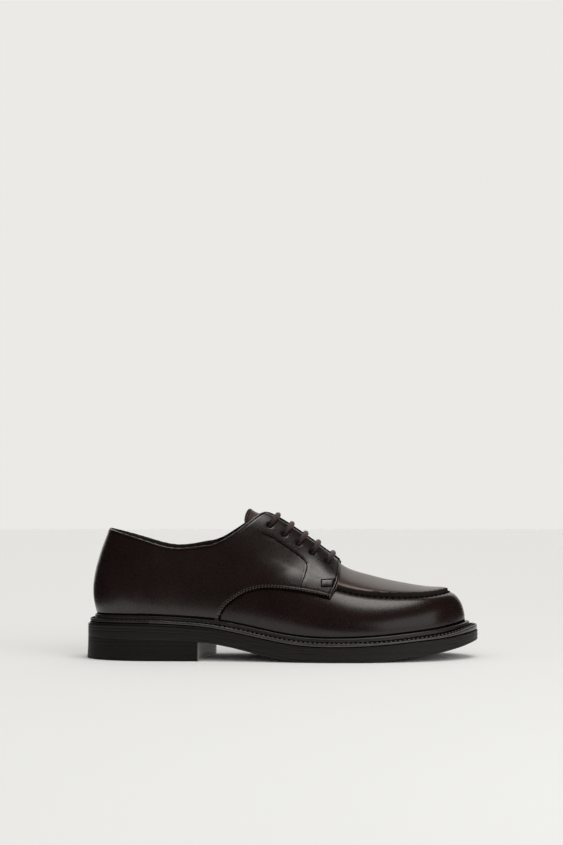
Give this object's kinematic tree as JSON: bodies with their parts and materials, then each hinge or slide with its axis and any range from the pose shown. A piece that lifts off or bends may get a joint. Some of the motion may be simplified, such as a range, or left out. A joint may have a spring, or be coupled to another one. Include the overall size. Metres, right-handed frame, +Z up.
{
  "type": "derby shoe",
  "caption": "Right-foot low lace-up shoe in brown leather with a raised apron seam, open facings over a tongue, a beaded stitched welt and a flat heel.",
  "frame": {"origin": "on the floor under the middle of the shoe's box, which stands on its heel and forefoot", "axes": "+X from heel to toe, +Y from the lateral to the medial side, +Z up"},
  "size_m": [0.3009, 0.1107, 0.1151],
  "materials": {
    "vamp_leather": "smooth, half-gloss",
    "quarter_leather": "smooth, half-gloss",
    "tongue_leather": "smooth, half-gloss",
    "sock_leather": "matt",
    "welt_leather": "waxed",
    "sole_rubber": "satin",
    "heel_rubber": "satin",
    "lace_cord": "waxed cord"
  },
  "bodies": {
    "root": {"upper": "vamp_leather", "quarter_lateral": "quarter_leather", "quarter_medial": "quarter_leather", "tongue": "tongue_leather", "insole": "sock_leather", "welt": "welt_leather", "outsole": "sole_rubber", "heel": "heel_rubber", "lace_1": "lace_cord", "lace_2": "lace_cord", "lace_3": "lace_cord", "lace_4": "lace_cord", "lace_5": "lace_cord"}
  },
  "joints": []
}
